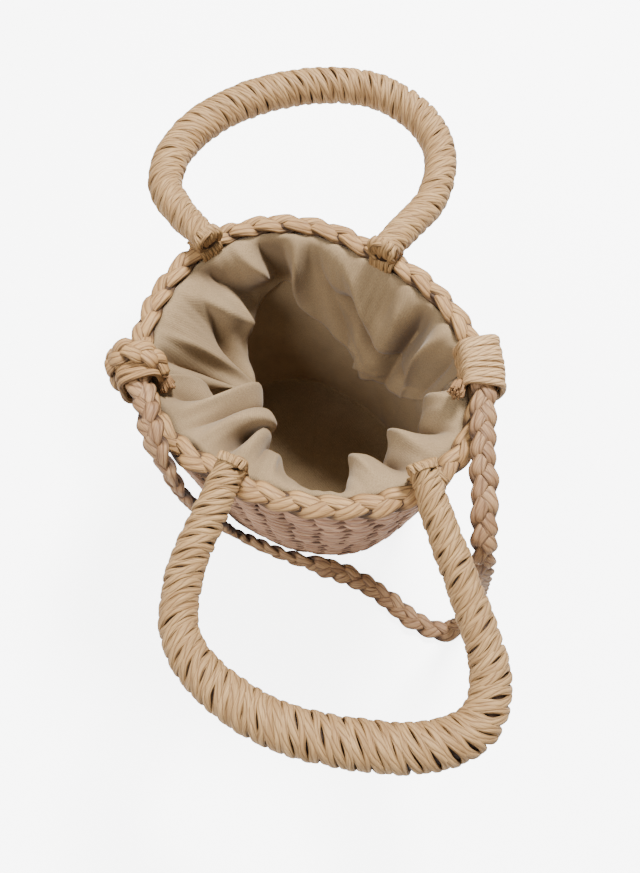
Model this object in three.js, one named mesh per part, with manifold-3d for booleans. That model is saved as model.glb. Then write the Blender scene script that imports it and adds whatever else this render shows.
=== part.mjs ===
// Straw basket bag: a small tapered basket of stacked braid with a braided rim, two wrapped loop
// handles laid outward, a cloth lining whose gathered collar is folded inside, and a flat braided
// strap bound to the rim at both sides. Millimetres, +Z up. The origin is the middle of the flat
// underside, +X runs to the right-hand strap binding and the handles lie towards -Y and +Y.

import * as THREE from 'three';
import Module from 'manifold-3d';

const wasm = await Module();
wasm.setup();

// Basket
const mouthRadius = 88; // mean radius of the rim's centre line
const baseRadius = 71; // mean radius of the underside
const rimHeight = 164; // the rim's centre line above the ground
const rimBraidWidth = 12.5;
const rimBraidHeight = 11;
const rimCorner = 3.6; // cut corners that bring the rim's eight-sided section near to an oval
const wallThickness = 5;
const courseHeight = 12; // one course of the wall's braid
const ribDepth = 1.5; // how far the middle of a course stands out from its seams
const ribCrown = 0.22; // half of the height that stands out, as a share of the course
const wallBelly = 0.08; // swelling of the side outline, as a share of the wall's flare
const baseThickness = 6;

// Cloth
const liningThickness = 1.2;
const collarThickness = 1.2;
const collarRise = 2.5; // the collar's top edge above the rim's centre line
const collarPlay = 0.8; // room between the collar and what it hangs against
const collarDepth = 86; // the longest hang of the collar below its top edge
const slitHalfTurn = 1.8; // half of each side slit between the two collars, in degrees

// Handles
const handleThickness = 21.6;
const backSpan = 170;
const backReach = 134;
const frontSpan = 148;
const frontReach = 130;
const handleSeatHeight = 12; // a root's centre line above the rim's
const backCrownDrop = 15; // how far a crown lies below its roots
const frontCrownDrop = 17;

// Sewn roots of the handles
const lashingWidth = 17;
const lashingWall = 1.4;
const seatLength = 51; // length of rim that a handle's root is hollowed to sit on

// Strap and its bindings
const strapWidth = 15;
const strapThickness = 7;
const rightBindingLength = 28;
const leftBindingLength = 24;
const bindingWall = 2.9;
const bindingPlay = 0.9; // room between a binding and what it holds
const bindingRounding = 1.5; // how much of its wall a binding's cut corners grow by
const tailLength = 10;
const tailWidth = 8.5;
const tailThickness = 7.5;

// Small gap between pieces that touch, and the fineness of the surfaces
const gap = 0.3;
const wallSteps = 36;
const innerRows = 3;
const rimSteps = 64;
const handleSides = 12;
const handleSteps = 40;
const strapSteps = 66;
const collarSteps = 34;
const collarRows = 5;
const sleeveSteps = 4;

// Plan of the basket, which is squeezed out of round: reach from the centre as a share of the
// mean radius, for each turn in degrees from +X
const planRows = [
  { turn: 0, reach: 1.04 },
  { turn: 30, reach: 0.925 },
  { turn: 60, reach: 0.88 },
  { turn: 90, reach: 0.97 },
  { turn: 120, reach: 1.05 },
  { turn: 150, reach: 1.04 },
  { turn: 180, reach: 1.03 },
  { turn: 210, reach: 0.995 },
  { turn: 240, reach: 0.93 },
  { turn: 270, reach: 0.97 },
  { turn: 300, reach: 1.075 },
  { turn: 330, reach: 1.11 },
];

// Folds of the collars: hang as a share of the collar's depth, hem and belly as the share of the
// mouth's radius that the cloth's lower edge and middle stand in from the lining
const backFolds = [
  { turn: -5, hang: 0.5, hem: 0.1, belly: 0.05 },
  { turn: 5, hang: 0.78, hem: 0.14, belly: 0.06 },
  { turn: 14, hang: 0.96, hem: 0.12, belly: 0.06 },
  { turn: 22, hang: 1, hem: 0.19, belly: 0.08 },
  { turn: 36, hang: 1, hem: 0.23, belly: 0.12 },
  { turn: 52, hang: 0.96, hem: 0.17, belly: 0.12 },
  { turn: 70, hang: 0.9, hem: 0.14, belly: 0.08 },
  { turn: 86, hang: 0.78, hem: 0.1, belly: 0.05 },
  { turn: 98, hang: 0.52, hem: 0.02, belly: 0.02 },
  { turn: 108, hang: 0.55, hem: 0.04, belly: 0.04 },
  { turn: 118, hang: 0.63, hem: 0.12, belly: 0.1 },
  { turn: 130, hang: 0.68, hem: 0.27, belly: 0.12 },
  { turn: 146, hang: 0.7, hem: 0.38, belly: 0.14 },
  { turn: 160, hang: 0.68, hem: 0.54, belly: 0.1 },
  { turn: 172, hang: 0.63, hem: 0.5, belly: 0.08 },
  { turn: 181, hang: 0.52, hem: 0.26, belly: 0.06 },
];
const frontFolds = [
  { turn: 181, hang: 0.46, hem: 0.08, belly: 0.1 },
  { turn: 190, hang: 0.5, hem: 0.14, belly: 0.2 },
  { turn: 199, hang: 0.54, hem: 0.24, belly: 0.34 },
  { turn: 212, hang: 0.55, hem: 0.3, belly: 0.42 },
  { turn: 222, hang: 0.54, hem: 0.27, belly: 0.4 },
  { turn: 231, hang: 0.5, hem: 0.16, belly: 0.26 },
  { turn: 241, hang: 0.48, hem: 0.17, belly: 0.25 },
  { turn: 252, hang: 0.46, hem: 0.15, belly: 0.2 },
  { turn: 262, hang: 0.44, hem: 0.06, belly: 0.1 },
  { turn: 272, hang: 0.44, hem: 0.05, belly: 0.03 },
  { turn: 282, hang: 0.44, hem: 0.05, belly: 0.03 },
  { turn: 290, hang: 0.45, hem: 0.11, belly: 0.14 },
  { turn: 303, hang: 0.47, hem: 0.16, belly: 0.24 },
  { turn: 317, hang: 0.48, hem: 0.15, belly: 0.23 },
  { turn: 332, hang: 0.48, hem: 0.14, belly: 0.21 },
  { turn: 343, hang: 0.46, hem: 0.1, belly: 0.14 },
  { turn: 355, hang: 0.44, hem: 0.05, belly: 0.05 },
];

// Centre lines of the handles from their left root to their right root: along is the share of the
// way, spread the share of the span beside the straight line between the roots, out the share of
// the reach beyond it, drop the share of the crown's drop, girth the share of the full thickness
const backLine = [
  { along: 0, spread: 0, out: 0, drop: 0, girth: 0.7 },
  { along: 0.09, spread: -0.155, out: 0.18, drop: 0.45, girth: 0.84 },
  { along: 0.18, spread: -0.28, out: 0.38, drop: 0.8, girth: 0.93 },
  { along: 0.27, spread: -0.3, out: 0.615, drop: 0.95, girth: 0.98 },
  { along: 0.36, spread: -0.215, out: 0.83, drop: 1, girth: 1 },
  { along: 0.45, spread: -0.065, out: 0.965, drop: 1, girth: 1 },
  { along: 0.53, spread: 0.09, out: 1.015, drop: 1, girth: 1 },
  { along: 0.61, spread: 0.235, out: 0.98, drop: 1, girth: 0.98 },
  { along: 0.7, spread: 0.335, out: 0.83, drop: 1, girth: 0.94 },
  { along: 0.79, spread: 0.352, out: 0.61, drop: 0.95, girth: 0.9 },
  { along: 0.88, spread: 0.26, out: 0.35, drop: 0.8, girth: 0.86 },
  { along: 0.95, spread: 0.115, out: 0.155, drop: 0.4, girth: 0.82 },
  { along: 1, spread: 0, out: 0, drop: 0, girth: 0.74 },
];
const frontLine = [
  { along: 0, spread: 0, out: 0, drop: 0, girth: 0.68 },
  { along: 0.08, spread: -0.12, out: 0.17, drop: 0.4, girth: 0.8 },
  { along: 0.17, spread: -0.26, out: 0.4, drop: 0.8, girth: 0.86 },
  { along: 0.26, spread: -0.325, out: 0.62, drop: 0.95, girth: 0.88 },
  { along: 0.35, spread: -0.275, out: 0.79, drop: 1, girth: 0.94 },
  { along: 0.44, spread: -0.125, out: 0.93, drop: 1, girth: 1 },
  { along: 0.53, spread: 0.05, out: 0.99, drop: 1, girth: 1.03 },
  { along: 0.62, spread: 0.22, out: 1, drop: 1, girth: 1.03 },
  { along: 0.71, spread: 0.335, out: 0.92, drop: 1, girth: 0.96 },
  { along: 0.8, spread: 0.322, out: 0.735, drop: 0.95, girth: 0.88 },
  { along: 0.88, spread: 0.21, out: 0.46, drop: 0.8, girth: 0.8 },
  { along: 0.95, spread: 0.085, out: 0.19, drop: 0.45, girth: 0.75 },
  { along: 1, spread: 0, out: 0, drop: 0, girth: 0.64 },
];

// Where the handles are sewn to the rim and where the strap is bound to it, in degrees from +X
const backRoots = { left: 130, right: 54.5 };
const frontRoots = { left: 241.5, right: 309.7 };
const rightBinding = { turn: 354, length: rightBindingLength };
const leftBinding = { turn: 188, length: leftBindingLength };

// The strap's way from the right binding to the left one. Lean tips its flat side from facing up,
// in degrees, and toward is the turn that the side then faces.
const strapRoute = [
  { x: 92.8, y: -10, z: 173.6, lean: 0, toward: 270 },
  { x: 92.8, y: -19, z: 173.6, lean: 0, toward: 270 },
  { x: 91.8, y: -28, z: 173.6, lean: 1, toward: 285 },
  { x: 90.6, y: -38, z: 173.7, lean: 2, toward: 285 },
  { x: 89.8, y: -48, z: 174, lean: 2, toward: 280 },
  { x: 89.2, y: -60, z: 173.8, lean: 4, toward: 275 },
  { x: 88.8, y: -72, z: 172.6, lean: 8, toward: 272 },
  { x: 88.4, y: -84, z: 170.4, lean: 12, toward: 272 },
  { x: 88.2, y: -95, z: 166.5, lean: 24, toward: 272 },
  { x: 88.4, y: -104.5, z: 159.5, lean: 42, toward: 272 },
  { x: 89.4, y: -111, z: 148.5, lean: 64, toward: 274 },
  { x: 91.2, y: -114.2, z: 132, lean: 80, toward: 276 },
  { x: 93.8, y: -115.2, z: 108, lean: 86, toward: 277 },
  { x: 96.6, y: -115, z: 80, lean: 88, toward: 278 },
  { x: 99.2, y: -114.6, z: 52, lean: 86, toward: 280 },
  { x: 101, y: -115.2, z: 28, lean: 72, toward: 284 },
  { x: 101, y: -118, z: 12, lean: 44, toward: 290 },
  { x: 97.2, y: -121.6, z: 5.2, lean: 14, toward: 290 },
  { x: 90, y: -123.2, z: 4, lean: 0, toward: 280 },
  { x: 81.5, y: -121, z: 4, lean: 0, toward: 280 },
  { x: 70, y: -115.5, z: 4, lean: 0, toward: 280 },
  { x: 59, y: -106, z: 4, lean: 0, toward: 280 },
  { x: 47.5, y: -97, z: 4, lean: 0, toward: 280 },
  { x: 36, y: -89.5, z: 4, lean: 0, toward: 275 },
  { x: 24, y: -84, z: 4.3, lean: 6, toward: 270 },
  { x: 11, y: -80.5, z: 6.4, lean: 30, toward: 265 },
  { x: -2, y: -77, z: 8.3, lean: 66, toward: 260 },
  { x: -15, y: -73, z: 8.3, lean: 82, toward: 252 },
  { x: -31, y: -67.3, z: 8.8, lean: 85, toward: 243 },
  { x: -46, y: -60.8, z: 13, lean: 86, toward: 234 },
  { x: -55, y: -59.5, z: 30, lean: 86, toward: 228 },
  { x: -60, y: -61.5, z: 58, lean: 88, toward: 226 },
  { x: -63.5, y: -66.5, z: 92, lean: 90, toward: 226 },
  { x: -65.5, y: -71, z: 124, lean: 90, toward: 226 },
  { x: -67, y: -71.8, z: 147, lean: 84, toward: 225 },
  { x: -70.5, y: -67.5, z: 163, lean: 66, toward: 222 },
  { x: -75.5, y: -57, z: 172.4, lean: 36, toward: 215 },
  { x: -80.4, y: -42.5, z: 174.8, lean: 12, toward: 206 },
  { x: -84.6, y: -29.5, z: 173.8, lean: 2, toward: 198 },
  { x: -87.4, y: -20, z: 173.6, lean: 0, toward: 192 },
  { x: -89.5, y: -12, z: 173.6, lean: 0, toward: 187 },
];

// Colours and finishes
const straw = { color: 0xc6a982, roughness: 0.72, metalness: 0 };
const rosyStraw = { color: 0xbd9c86, roughness: 0.75, metalness: 0 };
const cord = { color: 0xc3a67f, roughness: 0.74, metalness: 0 };
const twill = { color: 0xb3a086, roughness: 0.88, metalness: 0 };

// Sizes that follow from the ones above
const rimTop = rimHeight + rimBraidHeight / 2;
const rimBottom = rimHeight - rimBraidHeight / 2;
const wallBottom = baseThickness + gap;
const wallTop = rimBottom - gap;
const wallCourses = Math.round((wallTop - wallBottom) / courseHeight);
const flare = mouthRadius + wallThickness / 2 - baseRadius;
const strapLift = strapThickness + gap; // the strap's share of a binding's height

// Value of one column of a table at a place between its rows, on a smooth curve through them
function follow(rows, along, column, at) {
  let i = 0;
  while (i < rows.length - 2 && at > rows[i + 1][along]) {
    i += 1;
  }
  const slope = (a, b) => (b[column] - a[column]) / (b[along] - a[along]);
  const start = rows[i];
  const end = rows[i + 1];
  const before = rows[i - 1] ?? start;
  const after = rows[i + 2] ?? end;
  const step = end[along] - start[along];
  const t = Math.min(1, Math.max(0, (at - start[along]) / step));
  const bend = (1 - t) * (1 - t) * t * step * slope(before, end);
  const unbend = t * t * (1 - t) * step * slope(start, after);
  const blend = t * t * (3 - 2 * t);
  return start[column] * (1 - blend) + end[column] * blend + bend - unbend;
}

const planLaps = [-360, 0, 360].flatMap((lap) => (
  planRows.map((row) => ({ turn: row.turn + lap, reach: row.reach }))
));

function plan(turn) {
  return follow(planLaps, 'turn', 'reach', THREE.MathUtils.euclideanModulo(turn, 360));
}

function at(turn, radius, z) {
  const angle = THREE.MathUtils.degToRad(turn);
  return new THREE.Vector3(radius * Math.cos(angle), radius * Math.sin(angle), z);
}

function rimRadius(turn) {
  return mouthRadius * plan(turn);
}

function wallRadius(turn, z) {
  const height = Math.min(1, Math.max(0, z / wallTop));
  return (baseRadius + flare * (height + wallBelly * Math.sin(Math.PI * height))) * plan(turn);
}

function liningRadius(turn, z) {
  return wallRadius(turn, z) - wallThickness - gap;
}

// Closed body through rings of points: the rings close on themselves, or a fan ends each side
function loft(rings, looped = false) {
  const around = rings[0].length;
  const points = rings.flat();
  const faces = [];
  const bands = looped ? rings.length : rings.length - 1;
  for (let i = 0; i < bands; i += 1) {
    const near = i * around;
    const far = ((i + 1) % rings.length) * around;
    for (let j = 0; j < around; j += 1) {
      const k = (j + 1) % around;
      faces.push(near + j, near + k, far + k, near + j, far + k, far + j);
    }
  }
  if (!looped) {
    const last = (rings.length - 1) * around;
    const middles = [rings[0], rings.at(-1)].map(middleOf);
    const centre = points.push(...middles) - 2;
    for (let j = 0; j < around; j += 1) {
      const k = (j + 1) % around;
      faces.push(centre, k, j, centre + 1, last + j, last + k);
    }
  }
  return outward(points, faces);
}

function middleOf(ring) {
  const sum = new THREE.Vector3();
  ring.forEach((point) => sum.add(point));
  return sum.divideScalar(ring.length);
}

// Thin sheet over a grid of points, with a wall's thickness shared between its two sides
function sheet(grid, thickness) {
  const columns = grid.length;
  const rows = grid[0].length;
  const sides = [thickness / 2, -thickness / 2].map((offset) => grid.map((column, i) => (
    column.map((point, j) => {
      const alongTurn = new THREE.Vector3().subVectors(
        grid[Math.min(i + 1, columns - 1)][j],
        grid[Math.max(i - 1, 0)][j],
      );
      const alongHang = new THREE.Vector3().subVectors(
        column[Math.min(j + 1, rows - 1)],
        column[Math.max(j - 1, 0)],
      );
      const normal = alongTurn.cross(alongHang).normalize();
      return point.clone().addScaledVector(normal, offset);
    })
  )));
  const points = sides.flat(2);
  const spot = (side, i, j) => (side * columns + i) * rows + j;
  const faces = [];
  const quad = (a, b, c, d) => faces.push(a, b, c, a, c, d);
  for (let i = 0; i < columns - 1; i += 1) {
    for (let j = 0; j < rows - 1; j += 1) {
      quad(spot(0, i, j), spot(0, i + 1, j), spot(0, i + 1, j + 1), spot(0, i, j + 1));
      quad(spot(1, i, j), spot(1, i, j + 1), spot(1, i + 1, j + 1), spot(1, i + 1, j));
    }
    quad(spot(0, i, 0), spot(1, i, 0), spot(1, i + 1, 0), spot(0, i + 1, 0));
    quad(spot(0, i, rows - 1), spot(0, i + 1, rows - 1), spot(1, i + 1, rows - 1), spot(1, i, rows - 1));
  }
  for (let j = 0; j < rows - 1; j += 1) {
    quad(spot(0, 0, j), spot(0, 0, j + 1), spot(1, 0, j + 1), spot(1, 0, j));
    const end = columns - 1;
    quad(spot(0, end, j), spot(1, end, j), spot(1, end, j + 1), spot(0, end, j + 1));
  }
  return outward(points, faces);
}

// Geometry of points and faces, turned so that every face points out of the body
function outward(points, faces) {
  let volume = 0;
  for (let i = 0; i < faces.length; i += 3) {
    const [a, b, c] = [points[faces[i]], points[faces[i + 1]], points[faces[i + 2]]];
    volume += a.dot(new THREE.Vector3().crossVectors(b, c));
  }
  const index = volume > 0 ? faces : faces.toReversed();
  const geometry = new THREE.BufferGeometry().setFromPoints(points);
  geometry.setIndex(index);
  geometry.computeVertexNormals();
  return geometry;
}

function solidOf(geometry) {
  return new wasm.Manifold(new wasm.Mesh({
    numProp: 3,
    vertProperties: new Float32Array(geometry.attributes.position.array),
    triVerts: new Uint32Array(geometry.index.array),
  }));
}

function carved(geometry, tools) {
  const left = tools.reduce((piece, tool) => piece.subtract(solidOf(tool)), solidOf(geometry));
  const mesh = left.getMesh();
  const result = new THREE.BufferGeometry();
  result.setAttribute('position', new THREE.BufferAttribute(mesh.vertProperties, 3));
  result.setIndex(new THREE.BufferAttribute(mesh.triVerts, 1));
  result.computeVertexNormals();
  return result;
}

// Eight-sided outline with cut corners, as steps out from and up from its middle
function cutRectangle(width, height, corner) {
  const x = width / 2;
  const y = height / 2;
  return [
    [x, corner - y], [x, y - corner], [x - corner, y], [corner - x, y],
    [-x, y - corner], [-x, corner - y], [corner - x, -y], [x - corner, -y],
  ].map(([out, up]) => ({ out, up }));
}

// The rim's section grown by a margin on every side
function rimOutline(margin) {
  return cutRectangle(
    rimBraidWidth + 2 * margin,
    rimBraidHeight + 2 * margin,
    rimCorner + margin * (2 - Math.SQRT2),
  );
}

// An outline carried round the rim from one turn to another, raised above the rim's centre line
function alongRim(outline, from, to, steps, lift = 0) {
  const rings = [];
  for (let i = 0; i <= steps; i += 1) {
    const turn = from + ((to - from) * i) / steps;
    rings.push(outline.map(({ out, up }) => at(turn, rimRadius(turn) + out, rimHeight + lift + up)));
  }
  return rings;
}

// Solid length of an outline round the rim, centred on a turn
function plug(outline, turn, length, lift) {
  const half = halfTurn(turn, length);
  return loft(alongRim(outline, turn - half, turn + half, sleeveSteps, lift));
}

function halfTurn(turn, length) {
  return THREE.MathUtils.radToDeg(length / 2 / rimRadius(turn));
}

// Hollow sleeve round the rim: the inner outline back along the outer one
function sleeve(inner, outer, turn, length, lift) {
  const half = halfTurn(turn, length);
  const outside = alongRim(outer, turn - half, turn + half, sleeveSteps, lift);
  const inside = alongRim(inner, turn - half, turn + half, sleeveSteps, lift);
  return loft([...outside, ...inside.toReversed()], true);
}

function makeBase() {
  const edge = baseThickness / 4;
  const rows = [[0, edge], [edge, 0], [baseThickness - edge, 0], [baseThickness, edge]];
  return loft(rows.map(([z, inset]) => circuit((turn) => at(turn, baseRadius * plan(turn) - inset, z))));
}

function circuit(place, steps = wallSteps) {
  return Array.from({ length: steps }, (_, i) => place((360 * i) / steps));
}

// Room that the sewn roots and the bindings take out of what they are sewn through
function sewnPlaces() {
  const lashings = [backRoots.left, backRoots.right, frontRoots.left, frontRoots.right].map((turn) => (
    plug(rimOutline(lashingWall + 2 * gap), turn, lashingWidth + 2 * gap, 0)
  ));
  const bindings = [rightBinding, leftBinding].map(({ turn, length }) => (
    plug(bindingOutline(bindingWall + gap), turn, length + 2 * gap, strapLift / 2)
  ));
  return [...lashings, ...bindings];
}

// Wall: three rows to a course outside, where it swells between its seams, and plain inside
function makeWall() {
  const pitch = (wallTop - wallBottom) / wallCourses;
  const rings = [];
  for (let course = 0; course < wallCourses; course += 1) {
    for (const [share, inset] of [[0, ribDepth], [0.5 - ribCrown, 0], [0.5 + ribCrown, 0]]) {
      const z = wallBottom + (course + share) * pitch;
      rings.push(circuit((turn) => at(turn, wallRadius(turn, z) - inset, z)));
    }
  }
  rings.push(circuit((turn) => at(turn, wallRadius(turn, wallTop) - ribDepth, wallTop)));
  for (let i = innerRows; i >= 0; i -= 1) {
    const z = wallBottom + ((wallTop - wallBottom) * i) / innerRows;
    rings.push(circuit((turn) => at(turn, wallRadius(turn, z) - wallThickness, z)));
  }
  return carved(loft(rings, true), sewnPlaces());
}

function makeRim() {
  const rings = alongRim(rimOutline(0), 0, 360, rimSteps);
  rings.pop();
  return loft(rings, true);
}

// Lining: a cup that follows the wall down, with its floor on the base
function makeLining() {
  const floor = baseThickness + gap;
  const row = (wallTop - floor) / innerRows;
  const levels = Array.from({ length: innerRows + 1 }, (_, i) => floor + row * i);
  const outside = levels.map((z) => circuit((turn) => at(turn, liningRadius(turn, z), z)));
  const inside = levels.toReversed().map((z) => {
    const level = Math.max(z, floor + liningThickness);
    return circuit((turn) => at(turn, liningRadius(turn, level) - liningThickness, level));
  });
  return carved(loft([...outside, ...inside]), sewnPlaces());
}

// Collar: hangs from inside the rim between two slits, stands in from the lining by its folds
function makeCollar(folds, firstSlit, lastSlit) {
  const from = firstSlit + slitHalfTurn;
  const to = lastSlit - slitHalfTurn;
  const top = rimHeight + collarRise;
  const grid = [];
  for (let i = 0; i <= collarSteps; i += 1) {
    const turn = from + ((to - from) * i) / collarSteps;
    const hang = collarDepth * follow(folds, 'turn', 'hang', turn);
    const hem = mouthRadius * follow(folds, 'turn', 'hem', turn);
    const belly = mouthRadius * follow(folds, 'turn', 'belly', turn);
    const column = [];
    for (let j = 0; j <= collarRows; j += 1) {
      const down = j / collarRows;
      const z = top - hang * down;
      const underRim = rimRadius(turn) - rimBraidWidth / 2 - gap;
      const besideLining = liningRadius(turn, z) - liningThickness;
      const against = Math.min(underRim, besideLining) - collarPlay - collarThickness / 2;
      const inward = hem * down * down + belly * Math.sin(Math.PI * down);
      column.push(at(turn, against - inward, z));
    }
    grid.push(column);
  }
  return carved(sheet(grid, collarThickness), sewnPlaces());
}

// Handle: a round section carried along its loop, seated on the rim where its roots cross it
function makeHandle(roots, line, span, reach, crownDrop) {
  const outwardSign = Math.sign(Math.sin(THREE.MathUtils.degToRad(roots.left)));
  const rootHeight = rimHeight + handleSeatHeight;
  const [left, right] = [roots.left, roots.right].map((turn) => (
    at(turn, rimRadius(turn) - rimBraidWidth / 2, rootHeight)
  ));
  const centreLine = new THREE.CatmullRomCurve3(line.map((row) => (
    new THREE.Vector3().lerpVectors(left, right, row.along).add(new THREE.Vector3(
      row.spread * span,
      row.out * reach * outwardSign,
      -row.drop * crownDrop,
    ))
  )), false, 'centripetal');
  const girths = line.map((row, place) => ({ place, girth: row.girth }));
  const rings = [];
  for (let i = 0; i <= handleSteps; i += 1) {
    const share = centreLine.getUtoTmapping(i / handleSteps);
    const tangent = centreLine.getTangent(share);
    const side = new THREE.Vector3(0, 0, 1).cross(tangent).normalize();
    const up = tangent.clone().cross(side);
    const alongNow = share * (line.length - 1);
    const girth = follow(girths, 'place', 'girth', alongNow);
    const radius = (handleThickness * girth) / 2;
    const centre = centreLine.getPoint(share);
    rings.push(Array.from({ length: handleSides }, (_, j) => {
      const angle = (2 * Math.PI * (j + 0.5)) / handleSides;
      return centre.clone()
        .addScaledVector(side, radius * Math.cos(angle))
        .addScaledVector(up, radius * Math.sin(angle));
    }));
  }
  const seats = [roots.left, roots.right].flatMap((turn) => [
    plug(rimOutline(lashingWall + 2 * gap), turn, lashingWidth + 2 * gap, 0),
    plug(rimOutline(gap), turn, seatLength, 0),
  ]);
  return carved(loft(rings), seats);
}

function makeLashing(turn) {
  return sleeve(rimOutline(gap), rimOutline(gap + lashingWall), turn, lashingWidth, 0);
}

// Binding: a wound sleeve round the rim and the strap that lies on top of it
function bindingOutline(margin) {
  const width = strapWidth + 2 * (bindingPlay + margin);
  const height = rimBraidHeight + strapLift + 2 * (bindingPlay + margin);
  return cutRectangle(width, height, bindingPlay + bindingRounding * margin);
}

function makeBinding({ turn, length }) {
  return sleeve(bindingOutline(0), bindingOutline(bindingWall), turn, length, strapLift / 2);
}

// Cut end of the strap: a short stub that stands out of a binding beside the strap, over the rim
function makeTail({ turn, length }) {
  const half = halfTurn(turn, length + 2 * gap);
  const reach = 2 * halfTurn(turn, tailLength);
  const inward = -(strapWidth + tailWidth) / 2 - gap;
  const outline = cutRectangle(tailWidth, tailThickness, tailThickness / 4)
    .map(({ out, up }) => ({ out: out + inward, up }));
  const lift = rimBraidHeight / 2 + gap + tailThickness / 2;
  return loft(alongRim(outline, turn - half, turn - half - reach, 2, lift));
}

// Strap: a flat section whose broad side is turned as the route says
class FacedCurve extends THREE.CatmullRomCurve3 {
  constructor(route) {
    super(route.map(({ x, y, z }) => new THREE.Vector3(x, y, z)), false, 'centripetal');
    this.facings = route.map(({ lean, toward }) => {
      const tip = THREE.MathUtils.degToRad(lean);
      return at(toward, Math.sin(tip), Math.cos(tip));
    });
  }

  computeFrenetFrames(segments) {
    const frames = { tangents: [], normals: [], binormals: [] };
    for (let i = 0; i <= segments; i += 1) {
      const place = this.getUtoTmapping(i / segments) * (this.facings.length - 1);
      const row = Math.min(Math.floor(place), this.facings.length - 2);
      const tangent = this.getTangentAt(i / segments);
      const normal = this.facings[row].clone().lerp(this.facings[row + 1], place - row);
      normal.addScaledVector(tangent, -normal.dot(tangent)).normalize();
      frames.tangents.push(tangent);
      frames.normals.push(normal);
      frames.binormals.push(tangent.clone().cross(normal));
    }
    return frames;
  }
}

function makeStrap() {
  const section = new THREE.Shape(cutRectangle(strapThickness, strapWidth, strapThickness / 4)
    .map(({ out, up }) => new THREE.Vector2(out, up)));
  const extrudePath = new FacedCurve(strapRoute);
  return new THREE.ExtrudeGeometry(section, { steps: strapSteps, extrudePath });
}

const bag = new THREE.Group();

function add(name, geometry, finish) {
  const mesh = new THREE.Mesh(geometry, new THREE.MeshStandardMaterial(finish));
  mesh.name = name;
  bag.add(mesh);
}

add('basket_base', makeBase(), rosyStraw);
add('basket_wall', makeWall(), rosyStraw);
add('rim_braid', makeRim(), straw);
add('lining', makeLining(), twill);
add('collar_back', makeCollar(backFolds, rightBinding.turn - 360, leftBinding.turn), twill);
add('collar_front', makeCollar(frontFolds, leftBinding.turn, rightBinding.turn), twill);
add('handle_back', makeHandle(backRoots, backLine, backSpan, backReach, backCrownDrop), straw);
add('handle_front', makeHandle(frontRoots, frontLine, frontSpan, frontReach, frontCrownDrop), straw);
add('lashing_back_left', makeLashing(backRoots.left), cord);
add('lashing_back_right', makeLashing(backRoots.right), cord);
add('lashing_front_left', makeLashing(frontRoots.left), cord);
add('lashing_front_right', makeLashing(frontRoots.right), cord);
add('strap', makeStrap(), rosyStraw);
add('strap_binding_right', makeBinding(rightBinding), cord);
add('strap_binding_left', makeBinding(leftBinding), cord);
add('strap_tail_right', makeTail(rightBinding), cord);
add('strap_tail_left', makeTail(leftBinding), cord);

export default bag;
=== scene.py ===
import math

import bpy
import numpy as np
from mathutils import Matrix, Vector


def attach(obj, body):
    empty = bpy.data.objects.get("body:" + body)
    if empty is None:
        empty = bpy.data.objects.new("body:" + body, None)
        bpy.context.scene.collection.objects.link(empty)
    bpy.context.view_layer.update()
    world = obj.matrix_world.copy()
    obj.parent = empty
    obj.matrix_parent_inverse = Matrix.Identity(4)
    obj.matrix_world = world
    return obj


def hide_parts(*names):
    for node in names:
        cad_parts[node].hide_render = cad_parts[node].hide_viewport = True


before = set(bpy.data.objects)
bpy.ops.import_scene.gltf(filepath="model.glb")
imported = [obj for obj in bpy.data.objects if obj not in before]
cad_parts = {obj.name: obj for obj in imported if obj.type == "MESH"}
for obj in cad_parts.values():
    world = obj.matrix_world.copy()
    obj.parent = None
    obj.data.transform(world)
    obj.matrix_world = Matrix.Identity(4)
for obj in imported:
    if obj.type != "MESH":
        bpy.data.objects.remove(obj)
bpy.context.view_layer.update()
bpy.ops.object.select_all(action="DESELECT")
print("frame loaded")


# Camera, high in front of the bag as in the photograph
view = {"place": (0.007, -0.2057, 0.5428), "tip": 22.6, "lens": 32.54, "sensor": 36.0}

bpy.ops.object.camera_add(location=view["place"], rotation=(math.radians(view["tip"]), 0, 0))
camera = bpy.context.object
camera.name = "camera"
camera.data.lens = view["lens"]
camera.data.sensor_width = view["sensor"]
camera.data.clip_start = 0.01
bpy.context.scene.camera = camera
print("camera placed")


# Sizes that the pieces share, in metres
bag = {
    "mouthRadius": 0.088, "baseRadius": 0.071, "rimHeight": 0.164, "wallTop": 0.1582,
    "wallBottom": 0.0063, "wallThickness": 0.005, "belly": 0.08, "flare": 0.0195, "courses": 13,
}
planTurns = np.arange(0, 361, 30)
planReach = [1.04, 0.925, 0.88, 0.97, 1.05, 1.04, 1.03, 0.995, 0.93, 0.97, 1.075, 1.11, 1.04]


def follow(xs, ys, x):
    # smooth curve through the rows of a table
    xs, ys = np.asarray(xs, float), np.asarray(ys, float)
    x = np.clip(np.asarray(x, float), xs[0], xs[-1])
    i = np.clip(np.searchsorted(xs, x, side="right") - 1, 0, len(xs) - 2)
    lower, upper = np.clip(i - 1, 0, None), np.clip(i + 2, None, len(xs) - 1)
    step = xs[i + 1] - xs[i]
    t = (x - xs[i]) / step
    slopeIn = (ys[i + 1] - ys[lower]) / (xs[i + 1] - xs[lower])
    slopeOut = (ys[upper] - ys[i]) / (xs[upper] - xs[i])
    blend = t * t * (3 - 2 * t)
    bend = (1 - t) ** 2 * t * step * slopeIn - t * t * (1 - t) * step * slopeOut
    return ys[i] * (1 - blend) + ys[i + 1] * blend + bend


planTable = (
    np.concatenate([planTurns[:-1] - 360, planTurns[:-1], planTurns + 360]),
    planReach[:-1] + planReach[:-1] + planReach,
)


def plan(turn):
    return follow(*planTable, np.mod(turn, 360))


def at(turn, radius, z):
    angle = np.radians(turn)
    return np.stack(np.broadcast_arrays(radius * np.cos(angle), radius * np.sin(angle), z), axis=-1)


def rimRadius(turn):
    return bag["mouthRadius"] * plan(turn)


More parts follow.
